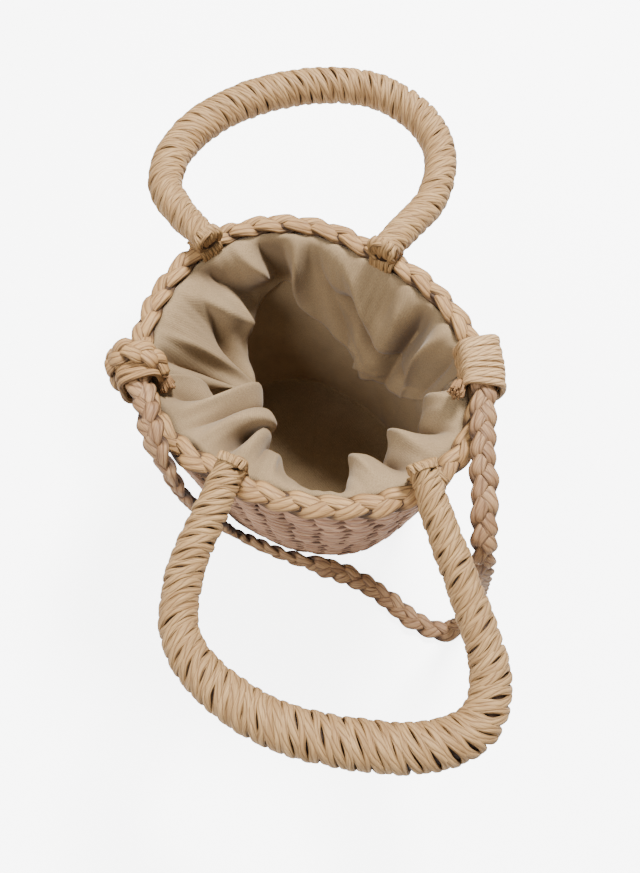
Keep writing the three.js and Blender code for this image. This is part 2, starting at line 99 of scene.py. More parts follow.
def wallRadius(turn, z):
    height = np.clip(z / bag["wallTop"], 0, 1)
    swell = height + bag["belly"] * np.sin(np.pi * height)
    return (bag["baseRadius"] + bag["flare"] * swell) * plan(turn)


# Paths: evenly spaced points with the direction that the flat side faces
def unit(v):
    return v / np.linalg.norm(v, axis=-1, keepdims=True)


def along(points, closed):
    # distance of each point from the first, and the whole length
    ends = np.roll(points, -1, axis=0) if closed else points[1:]
    steps = np.linalg.norm(ends - points[:len(ends)], axis=1)
    return np.concatenate([[0], np.cumsum(steps)])


def evenly(points, faces, spacing, closed=False):
    far = along(points, closed)
    count = max(4, int(round(far[-1] / spacing)))
    wanted = np.linspace(0, far[-1], count + 1)[:count if closed else None]
    if closed:
        points, faces = np.vstack([points, points[:1]]), np.vstack([faces, faces[:1]])
    pick = lambda rows: np.stack([np.interp(wanted, far, rows[:, k]) for k in range(3)], axis=1)
    return {"points": pick(points), "faces": unit(pick(faces)), "far": wanted,
            "length": far[-1], "closed": closed}


def throughPoints(rows, steps=16):
    # smooth curve through chosen points
    rows = np.asarray(rows, float)
    place = np.linspace(0, len(rows) - 1, (len(rows) - 1) * steps + 1)
    index = np.arange(len(rows))
    return np.stack([follow(index, rows[:, k], place) for k in range(rows.shape[1])], axis=1)


def tangents(points, closed):
    if closed:
        return unit(np.roll(points, -1, axis=0) - np.roll(points, 1, axis=0))
    return unit(np.gradient(points, axis=0))


def wander(count, knots, seed, closed=False):
    # slow random change between -1 and 1 along a path
    draw = np.random.default_rng(seed).uniform(-1, 1, max(2, knots) + 1)
    if closed:
        draw[-1] = draw[0]
    place = np.linspace(0, len(draw) - 1, count, endpoint=not closed)
    i = np.clip(place.astype(int), 0, len(draw) - 2)
    t = place - i
    t = t * t * (3 - 2 * t)
    return draw[i] * (1 - t) + draw[i + 1] * t


# Tubes of a flattened round section, the stuff of every strand and cord
def tube(centres, faces, width, height, sides=8, closed=False, deep=0.0, start=0.0, square=0.8):
    count = len(centres)
    t = tangents(centres, closed)
    n = unit(faces - t * np.sum(faces * t, axis=1, keepdims=True))
    w = np.cross(n, t)
    angle = 2 * np.pi * np.arange(sides) / sides
    out = np.sign(np.cos(angle)) * np.abs(np.cos(angle)) ** square / 2
    up = np.sign(np.sin(angle)) * np.abs(np.sin(angle)) ** square / 2
    width = np.broadcast_to(width, count)[:, None, None]
    height = np.broadcast_to(height, count)[:, None, None]
    ring = (centres[:, None] + w[:, None] * out[None, :, None] * width
            + n[:, None] * up[None, :, None] * height)
    far = along(centres, closed) + start
    rows = count if closed else count - 1
    i, j = np.meshgrid(np.arange(rows), np.arange(sides), indexing="ij")
    i, j = i.ravel(), j.ravel()
    nextRow, nextSide = (i + 1) % count, (j + 1) % sides
    quads = np.stack([i * sides + j, i * sides + nextSide,
                      nextRow * sides + nextSide, nextRow * sides + j], axis=1)
    near, beyond = far[i], far[i + 1]
    low, high = j / sides, (j + 1) / sides
    uv = np.stack([near, low, near, high, beyond, high, beyond, low], axis=1).reshape(-1, 2)
    ends = [] if closed else [list(range(sides))[::-1],
                              list(range((count - 1) * sides, count * sides))]
    endUv = np.tile([[start, 0.5]], (sides * len(ends), 1))
    return {"verts": ring.reshape(-1, 3), "quads": quads.tolist(), "ends": ends,
            "uv": np.vstack([uv, endUv]) if len(ends) else uv,
            "deep": np.repeat(np.broadcast_to(deep, count), sides)}


def pieceOf(name, parts):
    # one mesh from many tubes, with their strand map and their depth in the weave, which the straw materials paint
    # as shade
    verts, faces, uvs, deep, total = [], [], [], [], 0
    for part in parts:
        verts.append(part["verts"])
        for face in part["quads"] + part["ends"]:
            faces.append([v + total for v in face])
        uvs.append(part["uv"])
        deep.append(part["deep"])
        total += len(part["verts"])
    mesh = bpy.data.meshes.new(name)
    mesh.from_pydata(np.vstack(verts).tolist(), [], faces)
    layer = mesh.uv_layers.new(name="strand")
    layer.data.foreach_set("uv", np.vstack(uvs).astype(np.float32).ravel())
    mesh.attributes.new("deep", "FLOAT", "POINT").data.foreach_set(
        "value", np.concatenate(deep).astype(np.float32))
    mesh.polygons.foreach_set("use_smooth", [True] * len(mesh.polygons))
    mesh.update()
    piece = bpy.data.objects.new(name, mesh)
    bpy.context.collection.objects.link(piece)
    return piece


# Flat braid of three strands, each on its way from side to side and over and under.
# Strays are in radians, metres or shares, as the value that they change is
weave = {"peak": 0.93, "snap": 1.9, "bias": 0.55, "rest": 0.25, "tip": 0.42, "width": 0.92, "swell": 0.1,
         "strayPhase": 0.16, "straySide": 0.0003, "strayRise": 0.00022, "strayWidth": 0.09, "strayThick": 0.1,
         "depth": 0.45, "depthSwing": 0.6}


def braid(path, look, seed=0):
    strands = []
    count = len(path["points"])
    far, closed = path["far"], path["closed"]
    periods = path["length"] / look["period"]
    if closed:
        periods = round(periods)
    t = tangents(path["points"], closed)
    side = unit(np.cross(path["faces"], t))
    swing = (look["width"] - look["strand"]) / 2
    slack = look.get("slack", 1.0)
    for k in range(3):
        draw = seed * 31 + k * 7
        stray = lambda size, rate, step: size * slack * wander(count, int(periods * rate), draw + step, closed)
        phase = 2 * np.pi * (far / path["length"] * periods + k / 3)
        phase = phase + stray(weave["strayPhase"], 2, 0)
        lateral = swing * np.arcsin(weave["peak"] * np.sin(phase)) / math.asin(weave["peak"])
        lateral = lateral + stray(weave["straySide"], 3, 1)
        over = np.tanh(weave["snap"] * np.sin(2 * phase) + weave["bias"])
        rise = look["lift"] * (over - weave["rest"])
        rise = rise + stray(weave["strayRise"], 3, 2)
        tip = weave["tip"] * np.sin(phase)
        centres = path["points"] + side * lateral[:, None] + path["faces"] * rise[:, None]
        faces = path["faces"] + side * tip[:, None]
        width = look["strand"] * (weave["width"] + weave["swell"] * over + stray(weave["strayWidth"], 4, 3))
        height = look["thick"] * (1 + stray(weave["strayThick"], 4, 4))
        # strand parts that pass under get a higher depth, painted darker as shade
        deep = np.clip(weave["depth"] - weave["depthSwing"] * over, 0, 1)
        strands.append(tube(centres, faces, width, height, look["sides"], closed, deep,
                            start=seed * 0.37 + k * 1.9))
    return strands


# Winding: a flattened cord that turns round a core, with loose places between its turns
def winding(path, radius, look, seed=0, sizeAt=None):
    t = tangents(path["points"], False)
    side = unit(np.cross(path["faces"], t))
    turns = path["length"] / look["pitch"]
    steps = int(turns * look["steps"])
    lap = np.linspace(0, turns, steps)
    angle = 2 * np.pi * lap
    loose = look["loose"] * look["pitch"]
    jog = loose * (wander(steps, int(turns * 3.1), seed) + 0.6 * wander(steps, int(turns * 5.3), seed + 1))
    lean = look["lean"] * np.cos(angle)
    # neighbouring turns swing opposite ways, which leaves slit gaps between them
    swing = 2.5 * angle + 1.5 * wander(steps, int(turns * 1.3), seed + 5)
    jog = jog + look.get("cross", 0.0) * look["pitch"] * np.sin(swing)
    place = np.clip(lap * look["pitch"] + jog + lean, 0, path["length"])
    pick = lambda rows: np.stack([np.interp(place, path["far"], rows[:, k]) for k in range(3)], axis=1)
    centre, face, across = pick(path["points"]), pick(path["faces"]), pick(side)
    reach = radius(place, angle)
    reach = reach + look["rough"] * (wander(steps, int(turns * 4.3), seed + 2) + np.cos(swing))
    outwards = across * np.cos(angle)[:, None] + face * np.sin(angle)[:, None]
    centres = centre + outwards * reach[:, None]
    size = 1 if sizeAt is None else sizeAt(place)
    width = look["width"] * size * (1 + 0.16 * wander(steps, int(turns * 2.7), seed + 3))
    return tube(centres, outwards, width, look["thick"], look["sides"], False, 0.0,
                start=seed * 0.53, square=0.75)


def coreOf(path, width, height, sides=12):
    # full depth: the core is painted dark as the shade under the strands
    return tube(path["points"], path["faces"], width, height, sides, path["closed"], 1.0)


# Materials
def nodeGroup(name, inputs, outputs):
    group = bpy.data.node_groups.new(name, "ShaderNodeTree")
    for socket, kind, value in inputs:
        made = group.interface.new_socket(socket, in_out="INPUT", socket_type=kind)
        if value is not None:
            made.default_value = value
    for socket, kind in outputs:
        group.interface.new_socket(socket, in_out="OUTPUT", socket_type=kind)
    return group, group.nodes.new("NodeGroupInput"), group.nodes.new("NodeGroupOutput")


def math2(tree, operation, a, b=0.0):
    node = tree.nodes.new("ShaderNodeMath")
    node.operation = operation
    for socket, value in zip(node.inputs, (a, b)):
        if isinstance(value, (int, float)):
            socket.default_value = value
        else:
            tree.links.new(value, socket)
    return node.outputs[0]


def scaled(tree, vector, scale):
    node = tree.nodes.new("ShaderNodeVectorMath")
    node.operation = "MULTIPLY"
    tree.links.new(vector, node.inputs[0])
    node.inputs[1].default_value = scale
    return node.outputs[0]


def noise(tree, vector, scale, detail=2.0, rough=0.5):
    node = tree.nodes.new("ShaderNodeTexNoise")
    node.inputs["Scale"].default_value = scale
    node.inputs["Detail"].default_value = detail
    node.inputs["Roughness"].default_value = rough
    tree.links.new(vector, node.inputs["Vector"])
    return node.outputs["Fac"]


def stretched(tree, value, low, high, bottom=0.0, top=1.0):
    node = tree.nodes.new("ShaderNodeMapRange")
    tree.links.new(value, node.inputs["Value"])
    for socket, number in zip(("From Min", "From Max", "To Min", "To Max"), (low, high, bottom, top)):
        node.inputs[socket].default_value = number
    return node.outputs["Result"]


def makeFibres():
    # twisted plies, fine fibres and slow changes of tone that run with a strand, with masks of the ply grooves and
    # strand edges for painted shade
    group, given, out = nodeGroup("strawFibres",
                                  [("Map", "NodeSocketVector", None), ("Plies", "NodeSocketFloat", 6.0),
                                   ("Lay", "NodeSocketFloat", 90.0)],
                                  [("Fibre", "NodeSocketFloat"), ("Tone", "NodeSocketFloat"),
                                   ("Groove", "NodeSocketFloat"), ("Edge", "NodeSocketFloat"),
                                   ("Height", "NodeSocketFloat")])
    fine = noise(group, scaled(group, given.outputs["Map"], (90, 40, 1)), 1.0, 3.0, 0.6)
    slow = noise(group, scaled(group, given.outputs["Map"], (38, 1.5, 1)), 1.0, 2.0)
    parts = group.nodes.new("ShaderNodeSeparateXYZ")
    group.links.new(given.outputs["Map"], parts.inputs[0])
    around = math2(group, "MULTIPLY", parts.outputs["Y"], given.outputs["Plies"])
    forward = math2(group, "MULTIPLY", parts.outputs["X"], given.outputs["Lay"])
    uneven = math2(group, "MULTIPLY", slow, 1.6)
    phase = math2(group, "ADD", math2(group, "ADD", around, forward), uneven)
    ply = math2(group, "ABSOLUTE", math2(group, "SINE", math2(group, "MULTIPLY", phase, math.pi)))
    aside = math2(group, "COSINE", math2(group, "MULTIPLY", parts.outputs["Y"], 2 * math.pi))
    group.links.new(math2(group, "POWER", math2(group, "ABSOLUTE", aside), 5.0), out.inputs["Edge"])
    group.links.new(stretched(group, fine, 0.38, 0.60), out.inputs["Fibre"])
    group.links.new(stretched(group, slow, 0.34, 0.66), out.inputs["Tone"])
    group.links.new(stretched(group, ply, 0.05, 0.55, 1, 0), out.inputs["Groove"])
    height = math2(group, "ADD", math2(group, "MULTIPLY", ply, 0.75), math2(group, "MULTIPLY", fine, 0.6))
    group.links.new(height, out.inputs["Height"])
    return group


def makeTwill():
    # slanting ribs of the cloth, broken by its yarns, in metres on the cloth's own map
    group, given, out = nodeGroup("twillWeave", [("Map", "NodeSocketVector", None)],
                                  [("Rib", "NodeSocketFloat"), ("Yarn", "NodeSocketFloat"),
                                   ("Tone", "NodeSocketFloat")])
    wave = group.nodes.new("ShaderNodeTexWave")
    wave.wave_type, wave.bands_direction = "BANDS", "DIAGONAL"
    wave.inputs["Scale"].default_value = 520
    wave.inputs["Distortion"].default_value = 0.9
    wave.inputs["Detail"].default_value = 2.0
    wave.inputs["Detail Scale"].default_value = 0.35
    group.links.new(given.outputs["Map"], wave.inputs["Vector"])
    yarn = noise(group, scaled(group, given.outputs["Map"], (1900, 700, 1)), 1.0, 2.0, 0.6)
    slow = noise(group, scaled(group, given.outputs["Map"], (28, 28, 1)), 1.0, 3.0)
    group.links.new(wave.outputs["Fac"], out.inputs["Rib"])
    group.links.new(yarn, out.inputs["Yarn"])
    group.links.new(stretched(group, slow, 0.3, 0.7), out.inputs["Tone"])
    return group


strawFibres = makeFibres()
twillWeave = makeTwill()

# Strength and height in metres
strawBump = (0.75, 0.0006)
clothBump = (0.45, 0.0003)


def newMaterial(name):
    material = bpy.data.materials.new(name)
    material.use_nodes = True
    tree = material.node_tree
    return material, tree, tree.nodes["Principled BSDF"]


def mixed(tree, share, low, high, kind="MIX"):
    node = tree.nodes.new("ShaderNodeMix")
    node.data_type = "RGBA"
    node.blend_type = kind
    for socket, value in ((node.inputs[0], share), (node.inputs[6], low), (node.inputs[7], high)):
        if isinstance(value, (int, float)):
            socket.default_value = value
        elif isinstance(value, tuple):
            socket.default_value = (*value, 1)
        else:
            tree.links.new(value, socket)
    return node.outputs[2]


def placed(tree, group, mapName):
    source = tree.nodes.new("ShaderNodeUVMap")
    source.uv_map = mapName
    node = tree.nodes.new("ShaderNodeGroup")
    node.node_tree = group
    tree.links.new(source.outputs["UV"], node.inputs["Map"])
    return node


def bumped(tree, shader, height, strength, distance):
    bump = tree.nodes.new("ShaderNodeBump")
    bump.inputs["Strength"].default_value = strength
    bump.inputs["Distance"].default_value = distance
    tree.links.new(height, bump.inputs["Height"])
    tree.links.new(bump.outputs["Normal"], shader.inputs["Normal"])


def strawMaterial(name, look):
    material, tree, shader = newMaterial(name)
    fibres = placed(tree, strawFibres, "strand")
    fibres.inputs["Plies"].default_value = look["plies"]
    fibres.inputs["Lay"].default_value = look["lay"]
    depth = tree.nodes.new("ShaderNodeAttribute")
    depth.attribute_name = "deep"
    tone = mixed(tree, fibres.outputs["Tone"], look["brown"], look["pale"])
    colour = mixed(tree, stretched(tree, fibres.outputs["Fibre"], 0, 1, look["streak"], 0),
                   tone, look["dark"])
    # painted shade: the ply grooves and the edges of each strand are darkened
    for mask, share, tint in (("Groove", "furrowShade", "dark"), ("Edge", "outline", "gap")):
        strength = math2(tree, "MULTIPLY", fibres.outputs[mask], look[share])
        colour = mixed(tree, strength, colour, look[tint])
    # painted shade: the deeper in the weave, the more the colour goes to the painted gap shade
    colour = mixed(tree, stretched(tree, depth.outputs["Fac"], 0.25, 1.0, 0, look["underShade"]),
                   colour, look["gap"])
    tree.links.new(colour, shader.inputs["Base Color"])
    tree.links.new(stretched(tree, fibres.outputs["Fibre"], 0, 1, 0.74, 0.56), shader.inputs["Roughness"])
    shader.inputs["Specular IOR Level"].default_value = 0.35
    bumped(tree, shader, fibres.outputs["Height"], *strawBump)
    return material


def clothMaterial(name, look):
    material, tree, shader = newMaterial(name)
    weave = placed(tree, twillWeave, "cloth")
    tone = mixed(tree, weave.outputs["Tone"], look["dim"], look["lit"])
    ribs = mixed(tree, stretched(tree, weave.outputs["Rib"], 0.1, 0.9, look["ribs"], 0), tone, look["grooveAndShade"])
    colour = mixed(tree, stretched(tree, weave.outputs["Yarn"], 0.35, 0.65, 0.45, 0), ribs, look["grooveAndShade"])
    # painted shade: the fold valleys are darkened towards the groove colour
    foldShade = tree.nodes.new("ShaderNodeAttribute")
    foldShade.attribute_name = "foldShade"
    colour = mixed(tree, math2(tree, "MULTIPLY", foldShade.outputs["Fac"], look["valleyShade"]), colour, look["grooveAndShade"])
    tree.links.new(colour, shader.inputs["Base Color"])
    shader.inputs["Roughness"].default_value = 0.9
    shader.inputs["Specular IOR Level"].default_value = 0.2
    shader.inputs["Sheen Weight"].default_value = 0.12
    height = math2(tree, "ADD", math2(tree, "MULTIPLY", weave.outputs["Rib"], 0.8),
                   math2(tree, "MULTIPLY", weave.outputs["Yarn"], 0.5))
    bumped(tree, shader, height, *clothBump)
    return material


goldStraw = strawMaterial("goldStraw", {
    "pale": (0.52, 0.305, 0.123), "brown": (0.4, 0.223, 0.086), "dark": (0.15, 0.0709, 0.0258),
    "gap": (0.036, 0.0150, 0.0060), "streak": 0.5, "furrowShade": 0.75, "outline": 0.6,
    "underShade": 0.92, "plies": 7, "lay": 70})
rosyStraw = strawMaterial("rosyStraw", {
    "pale": (0.58, 0.335, 0.194), "brown": (0.4, 0.215, 0.12), "dark": (0.15, 0.067, 0.0353),
    "gap": (0.028, 0.0110, 0.0062), "streak": 0.5, "furrowShade": 0.7, "outline": 0.8,
    "underShade": 0.98, "plies": 6, "lay": 70})
strapStraw = strawMaterial("strapStraw", {
    "pale": (0.44, 0.258, 0.12), "brown": (0.3, 0.164, 0.0774), "dark": (0.115, 0.0532, 0.0215),
    "gap": (0.030, 0.0120, 0.0060), "streak": 0.55, "furrowShade": 0.8, "outline": 0.65,
    "underShade": 0.92, "plies": 6, "lay": 90})
handleStraw = strawMaterial("handleStraw", {
    "pale": (0.52, 0.317, 0.135), "brown": (0.4, 0.232, 0.0929), "dark": (0.145, 0.0709, 0.0241),
    "gap": (0.030, 0.0125, 0.0050), "streak": 0.55, "furrowShade": 0.75, "outline": 0.35,
    "underShade": 0.97, "plies": 6, "lay": 110})
cordStraw = strawMaterial("cordStraw", {
    "pale": (0.66, 0.419, 0.2), "brown": (0.52, 0.315, 0.142), "dark": (0.165, 0.0827, 0.0318),
    "gap": (0.040, 0.0170, 0.0075), "streak": 0.5, "furrowShade": 0.75, "outline": 0.35,
    "underShade": 0.9, "plies": 5, "lay": 160})
cutStraw = strawMaterial("cutStraw", {
    "pale": (0.46, 0.256, 0.112), "brown": (0.32, 0.167, 0.0688), "dark": (0.12, 0.0542, 0.0189),
    "gap": (0.05, 0.02, 0.01), "streak": 0.5, "furrowShade": 0.3, "outline": 0.2,
    "underShade": 0.6, "plies": 3, "lay": 100})
twill = clothMaterial("twill", {
    "lit": (0.388, 0.274, 0.150), "dim": (0.305, 0.209, 0.111), "grooveAndShade": (0.15, 0.095, 0.049), "ribs": 0.26,
    "valleyShade": 0.5})
print("materials made")


def done(piece, material, slot, *nodes):
    piece.data.materials.append(material)
    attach(piece, "root")
    if nodes:
        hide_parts(*nodes)
    return piece


# Strap: its way repeats the solid's route, x, y, z, lean and the turn that its flat side faces
strapLook = {"width": 0.0152, "strand": 0.0078, "thick": 0.0034, "lift": 0.0016, "period": 0.035,
             "sides": 12, "slack": 1.6}
strapRoute = [
    (92.8, -10, 173.6, 0, 270), (92.8, -19, 173.6, 0, 270), (91.8, -28, 173.6, 1, 285),
    (90.6, -38, 173.7, 2, 285), (89.8, -48, 174, 2, 280), (89.2, -60, 173.8, 4, 275),
    (88.8, -72, 172.6, 8, 272), (88.4, -84, 170.4, 12, 272), (88.2, -95, 166.5, 24, 272),
    (88.4, -104.5, 159.5, 42, 272), (89.4, -111, 148.5, 64, 274), (91.2, -114.2, 132, 80, 276),
    (93.8, -115.2, 108, 86, 277), (96.6, -115, 80, 88, 278), (99.2, -114.6, 52, 86, 280),
    (101, -115.2, 28, 72, 284), (101, -118, 12, 44, 290), (97.2, -121.6, 5.2, 14, 290),
    (90, -123.2, 4, 0, 280), (81.5, -121, 4, 0, 280), (70, -115.5, 4, 0, 280),
    (59, -106, 4, 0, 280), (47.5, -97, 4, 0, 280), (36, -89.5, 4, 0, 275), (24, -84, 4.3, 6, 270),
    (11, -80.5, 6.4, 30, 265), (-2, -77, 8.3, 66, 260), (-15, -73, 8.3, 82, 252),
    (-31, -67.3, 8.8, 85, 243), (-46, -60.8, 13, 86, 234), (-55, -59.5, 30, 86, 228),
    (-60, -61.5, 58, 88, 226), (-63.5, -66.5, 92, 90, 226), (-65.5, -71, 124, 90, 226),
    (-67, -71.8, 147, 84, 225), (-70.5, -67.5, 163, 66, 222), (-75.5, -57, 172.4, 36, 215),
    (-80.4, -42.5, 174.8, 12, 206), (-84.6, -29.5, 173.8, 2, 198), (-87.4, -20, 173.6, 0, 192),
    (-89.5, -12, 173.6, 0, 187),
]


def routePath(rows, spacing, scale=0.001):
    rows = np.asarray(rows, float)
    lean = np.radians(rows[:, 3])
    toward = np.radians(rows[:, 4])
    faces = np.stack([np.sin(lean) * np.cos(toward), np.sin(lean) * np.sin(toward), np.cos(lean)], axis=1)
    curve = throughPoints(np.hstack([rows[:, :3] * scale, faces]))
    return evenly(curve[:, :3], curve[:, 3:], spacing)


strapPath = routePath(strapRoute, 0.0013)
strap = done(pieceOf("strap_braid", braid(strapPath, strapLook, 3)), strapStraw, "straw_strap", "strap")
print("strap braided,", round(strapPath["length"], 3), "m")


def circlePath(radiusAt, z, spacing, faceAt):
    turns = np.linspace(360, 0, 721)[:-1]
    points = at(turns, radiusAt(turns), z)
    return evenly(points, faceAt(turns), spacing, closed=True)


# Rim braid, flat side up over a core
rimLook = {"width": 0.0140, "strand": 0.0078, "thick": 0.0042, "lift": 0.0018, "period": 0.052,
           "sides": 12, "core": (0.0085, 0.0040)}
rimPath = circlePath(rimRadius, bag["rimHeight"] + 0.0003, 0.0020,
                     lambda turns: at(turns, 0.12, 1.0) * np.ones((len(turns), 1)))
done(pieceOf("rim_plait", braid(rimPath, rimLook, 5) + [coreOf(rimPath, *rimLook["core"])]),
     goldStraw, "straw_rim", "rim_braid")
print("rim braided")


# Wall: stacked courses of braid in front of a backing sheet painted dark as the shade between them
wallLook = {"width": 0.0126, "strand": 0.0063, "thick": 0.0036, "lift": 0.0018, "period": 0.047,
            "sides": 8, "slack": 1.5, "spacing": 0.0027, "lean": -0.12, "skin": (0.0031, 0.0044),
            "clearBelow": 0.002, "clearAbove": 0.001, "mapStep": 0.003, "mapRise": 0.3}


def ringSheet(rows, deep):
    # closed skin through rings of points
    count = len(rows[0])
    verts = np.vstack(rows)
    step, rise = wallLook["mapStep"], wallLook["mapRise"]
    quads, uv = [], []
    for i in range(len(rows)):
        k = (i + 1) % len(rows)
        for j in range(count):
            m = (j + 1) % count
            quads.append([i * count + j, i * count + m, k * count + m, k * count + j])
            uv += [(j * step, i * rise), (j * step + step, i * rise),
                   (j * step + step, i * rise + rise), (j * step, i * rise + rise)]
    return {"verts": verts, "quads": quads, "ends": [], "uv": np.array(uv), "deep": np.full(len(verts), deep)}


def makeWall():
    parts = []
    pitch = (bag["wallTop"] - bag["wallBottom"]) / bag["courses"]
    for course in range(bag["courses"]):
        z = bag["wallBottom"] + (course + 0.5) * pitch
        path = circlePath(lambda turns: wallRadius(turns, z) - bag["wallThickness"] / 2, z,
                          wallLook["spacing"], lambda turns: at(turns, 1.0, wallLook["lean"]))
        parts += braid(path, wallLook, 11 + course)
    turns = np.linspace(0, 360, 120, endpoint=False)
    low, high = bag["wallBottom"] + wallLook["clearBelow"], bag["wallTop"] - wallLook["clearAbove"]
    levels = np.linspace(low, high, 6)
    front, back = wallLook["skin"]
    outer = [at(turns, wallRadius(turns, z) - front, z) for z in levels]
    inner = [at(turns, wallRadius(turns, z) - back, z) for z in levels[::-1]]
    # the backing sheet has full depth, so it is painted dark as shade
    parts.append(ringSheet(outer + inner, 1.0))
    return pieceOf("wall_plait", parts)


done(makeWall(), rosyStraw, "straw_basket", "basket_wall")


# Base: rings of the same braid, facing down, under a disc painted dark as the shade between them
baseLook = {"rings": 6, "overlap": 1.05, "lift": 0.0011, "thick": 0.0030, "height": 0.003, "inset": 0.0004,
            "discInset": 0.003, "discBottom": 0.0026, "discTop": 0.0042, "discHole": 0.0005}


def makeBase():
    parts = []
    width = bag["baseRadius"] / baseLook["rings"]
    look = dict(wallLook, width=width * baseLook["overlap"], lift=baseLook["lift"], thick=baseLook["thick"])
    for ring in range(baseLook["rings"]):
        middle = width * (ring + 0.5)
        path = circlePath(lambda turns: middle * plan(turns) - baseLook["inset"], baseLook["height"],
                          wallLook["spacing"], lambda turns: at(turns, 0.0, -1.0))
        parts += braid(path, look, 41 + ring)
    turns = np.linspace(0, 360, 96, endpoint=False)
    hole, bottom, top = baseLook["discHole"], baseLook["discBottom"], baseLook["discTop"]
    discs = [(hole, bottom), (1.0, bottom), (1.0, top), (hole, top)]
    # the disc has full depth, so it is painted dark as shade
    parts.append(ringSheet([at(turns, (bag["baseRadius"] - baseLook["discInset"]) * share * plan(turns), z)
                            for share, z in discs], 1.0))
    return pieceOf("base_plait", parts)


done(makeBase(), rosyStraw, "straw_basket", "basket_base")
print("wall and base braided")


# Handles: a core wound with flat straw. Rows: spread, out, drop and girth as shares, as in the solid
handleLook = {"pitch": 0.0039, "width": 0.0045, "thick": 0.0028, "steps": 30, "sides": 12, "loose": 0.1,
              "cross": 0.24, "lean": -0.0036, "rough": 0.00025, "thickness": 0.0216, "seat": 0.012,
              "rootInset": 0.00625, "bite": 0.42, "coreShrink": 1.5}
backHandle = {"roots": (130, 54.5), "span": 0.170, "reach": 0.134, "drop": 0.015, "line": [
    (0, 0, 0, 0, 0.7), (0.09, -0.155, 0.18, 0.45, 0.84), (0.18, -0.28, 0.38, 0.8, 0.93),
    (0.27, -0.3, 0.615, 0.95, 0.98), (0.36, -0.215, 0.83, 1, 1), (0.45, -0.065, 0.965, 1, 1),
    (0.53, 0.09, 1.015, 1, 1), (0.61, 0.235, 0.98, 1, 0.98), (0.7, 0.335, 0.83, 1, 0.94),
    (0.79, 0.352, 0.61, 0.95, 0.9), (0.88, 0.26, 0.35, 0.8, 0.86), (0.95, 0.115, 0.155, 0.4, 0.82),
    (1, 0, 0, 0, 0.74)]}
frontHandle = {"roots": (241.5, 309.7), "span": 0.148, "reach": 0.130, "drop": 0.017, "line": [
    (0, 0, 0, 0, 0.68), (0.08, -0.12, 0.17, 0.4, 0.8), (0.17, -0.26, 0.4, 0.8, 0.86),
    (0.26, -0.325, 0.62, 0.95, 0.88), (0.35, -0.275, 0.79, 1, 0.94), (0.44, -0.125, 0.93, 1, 1),
    (0.53, 0.05, 0.99, 1, 1.03), (0.62, 0.22, 1, 1, 1.03), (0.71, 0.335, 0.92, 1, 0.96),
    (0.8, 0.322, 0.735, 0.95, 0.88), (0.88, 0.21, 0.46, 0.8, 0.8), (0.95, 0.085, 0.19, 0.45, 0.75),
    (1, 0, 0, 0, 0.64)]}


def handlePath(handle):
    rows = np.array(handle["line"])
    left, right = (at(turn, rimRadius(turn) - handleLook["rootInset"], bag["rimHeight"] + handleLook["seat"])
                   for turn in handle["roots"])
    sign = math.copysign(1, math.sin(math.radians(handle["roots"][0])))
    points = left + (right - left) * rows[:, :1]
    points[:, 0] += rows[:, 1] * handle["span"]
    points[:, 1] += rows[:, 2] * handle["reach"] * sign
    points[:, 2] -= rows[:, 3] * handle["drop"]
    curve = throughPoints(np.hstack([points, rows[:, 4:]]))
    path = evenly(curve[:, :3], np.tile([[0.0, 0.0, 1.0]], (len(curve), 1)), 0.002)
    girth = np.interp(path["far"], along(curve[:, :3], False), curve[:, 3])
    path["radius"] = girth * handleLook["thickness"] / 2
    return path


def makeHandle(name, handle, seed):
    path = handlePath(handle)
    thick = handleLook["thick"]
    radiusAt = lambda place, angle: np.interp(place, path["far"], path["radius"]) - thick * handleLook["bite"]
    cord = winding(path, radiusAt, handleLook, seed)
    across = 2 * path["radius"] - thick * handleLook["coreShrink"]
    # the core has full depth, so it is painted dark as the shade between the turns
    core = tube(path["points"], path["faces"], across, across, 14, False, 1.0, square=1.0)
    return pieceOf(name, [cord, core]), path


handleBack, backPath = makeHandle("handle_back_wound", backHandle, 101)
done(handleBack, handleStraw, "straw_handle", "handle_back")
handleFront, frontPath = makeHandle("handle_front_wound", frontHandle, 131)
done(handleFront, handleStraw, "straw_handle", "handle_front")
print("handles wound")


# Sewn roots: thread round the rim under each handle, and stitches over the handle's end
sewLook = {"pitch": 0.0026, "width": 0.0030, "thick": 0.0018, "steps": 22, "sides": 6, "loose": 0.15,
           "lean": 0.0, "rough": 0.0002, "length": 0.014, "box": (0.0070, 0.0060, 3.0), "threads": 5,
           "stray": 0.0006, "threadWidth": 0.0040, "threadThick": 0.0017}


def arcPath(turn, length, lift, spacing=0.001):
    half = math.degrees(length / 2 / float(rimRadius(turn)))
    turns = np.linspace(turn - half, turn + half, 40)
    points = at(turns, rimRadius(turns), bag["rimHeight"] + lift)
    return evenly(points, np.tile([[0.0, 0.0, 1.0]], (40, 1)), spacing)


def boxed(a, b, power=4.0):
    # distance to a rounded oblong's outline in a direction
    return lambda place, angle: ((np.abs(np.cos(angle)) / a) ** power
                                 + (np.abs(np.sin(angle)) / b) ** power) ** (-1 / power)


